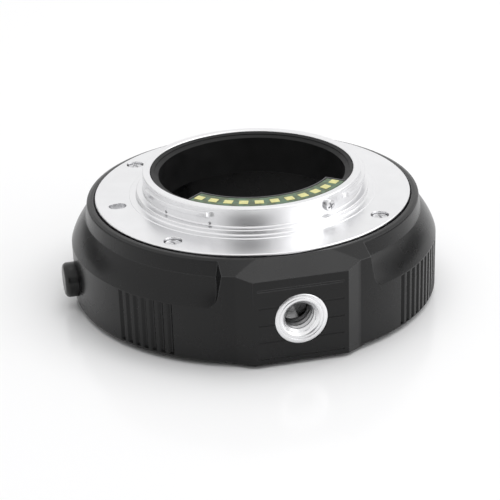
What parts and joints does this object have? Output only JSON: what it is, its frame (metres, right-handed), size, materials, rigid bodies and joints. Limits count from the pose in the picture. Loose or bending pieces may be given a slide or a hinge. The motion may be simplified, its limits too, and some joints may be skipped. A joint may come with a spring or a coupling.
{
  "type": "lens mount adapter",
  "caption": "Ring-shaped lens mount adapter with a bayonet on each face, electrical contacts, a lens release button with its lock pin, and a threaded tripod pad on the side.",
  "frame": {"origin": "on the optical axis in the lens-side flange plane", "axes": "+Z along the optical axis towards the camera, -Y out of the tripod pad, -X out of the release button"},
  "size_m": [0.0713, 0.0688, 0.0252],
  "materials": {
    "black_body": "satin",
    "black_button": "satin",
    "bright_mount": "satin",
    "steel": "satin",
    "black_plastic": "matte",
    "slide_plastic": "matte",
    "board_green": "satin",
    "gold_contact": "satin",
    "flex_film": "satin"
  },
  "bodies": {
    "adapter": {"body_barrel": "black_body", "button_spring": "steel", "camera_mount": "bright_mount", "camera_mount_screws": "steel", "contact_board": "board_green", "contact_holder": "black_plastic", "contact_pads": "gold_contact", "contact_springs": "gold_contact", "flex_cable": "flex_film", "holder_screws": "steel", "leaf_spring_rivets": "steel", "leaf_springs": "steel", "lens_mount": "bright_mount", "lens_mount_screws": "steel", "light_baffle": "black_plastic", "lock_pin_spring": "steel", "pin_block": "black_plastic", "pin_block_screws": "steel", "pin_board": "board_green", "stop_screw": "steel", "tripod_insert": "steel"},
    "button": {"release_button": "black_button", "release_slide": "slide_plastic"},
    "pin": {"lock_pin": "steel", "lock_peg": "steel"},
    "contact_1": {"contact_pin_1": "gold_contact"},
    "contact_2": {"contact_pin_2": "gold_contact"},
    "contact_3": {"contact_pin_3": "gold_contact"},
    "contact_4": {"contact_pin_4": "gold_contact"},
    "contact_5": {"contact_pin_5": "gold_contact"},
    "contact_6": {"contact_pin_6": "gold_contact"},
    "contact_7": {"contact_pin_7": "gold_contact"},
    "contact_8": {"contact_pin_8": "gold_contact"},
    "contact_9": {"contact_pin_9": "gold_contact"}
  },
  "joints": [
    {"name": "button_press", "type": "slide", "parent": "adapter", "child": "button", "axis": [1, 0, 0], "range_m": [0, 0.0015], "stiffness_N_per_m": 300, "springref_m": -0.002, "deforming": ["button_spring"]},
    {"name": "lock_pin_slide", "type": "slide", "parent": "adapter", "child": "pin", "axis": [0, 0, 1], "range_m": [0, 0.0015], "stiffness_N_per_m": 150, "springref_m": -0.002, "deforming": ["lock_pin_spring"]},
    {"name": "contact_1_slide", "type": "slide", "parent": "adapter", "child": "contact_1", "axis": [0, 0, 1], "range_m": [0, 0.0008], "stiffness_N_per_m": 200, "springref_m": -0.001, "deforming": ["contact_springs"]},
    {"name": "contact_2_slide", "type": "slide", "parent": "adapter", "child": "contact_2", "axis": [0, 0, 1], "range_m": [0, 0.0008], "stiffness_N_per_m": 200, "springref_m": -0.001, "deforming": ["contact_springs"]},
    {"name": "contact_3_slide", "type": "slide", "parent": "adapter", "child": "contact_3", "axis": [0, 0, 1], "range_m": [0, 0.0008], "stiffness_N_per_m": 200, "springref_m": -0.001, "deforming": ["contact_springs"]},
    {"name": "contact_4_slide", "type": "slide", "parent": "adapter", "child": "contact_4", "axis": [0, 0, 1], "range_m": [0, 0.0008], "stiffness_N_per_m": 200, "springref_m": -0.001, "deforming": ["contact_springs"]},
    {"name": "contact_5_slide", "type": "slide", "parent": "adapter", "child": "contact_5", "axis": [0, 0, 1], "range_m": [0, 0.0008], "stiffness_N_per_m": 200, "springref_m": -0.001, "deforming": ["contact_springs"]},
    {"name": "contact_6_slide", "type": "slide", "parent": "adapter", "child": "contact_6", "axis": [0, 0, 1], "range_m": [0, 0.0008], "stiffness_N_per_m": 200, "springref_m": -0.001, "deforming": ["contact_springs"]},
    {"name": "contact_7_slide", "type": "slide", "parent": "adapter", "child": "contact_7", "axis": [0, 0, 1], "range_m": [0, 0.0008], "stiffness_N_per_m": 200, "springref_m": -0.001, "deforming": ["contact_springs"]},
    {"name": "contact_8_slide", "type": "slide", "parent": "adapter", "child": "contact_8", "axis": [0, 0, 1], "range_m": [0, 0.0008], "stiffness_N_per_m": 200, "springref_m": -0.001, "deforming": ["contact_springs"]},
    {"name": "contact_9_slide", "type": "slide", "parent": "adapter", "child": "contact_9", "axis": [0, 0, 1], "range_m": [0, 0.0008], "stiffness_N_per_m": 200, "springref_m": -0.001, "deforming": ["contact_springs"]}
  ],
  "couplings": [
    {"joint": "lock_pin_slide", "follows": "button_press", "ratio": 1}
  ]
}
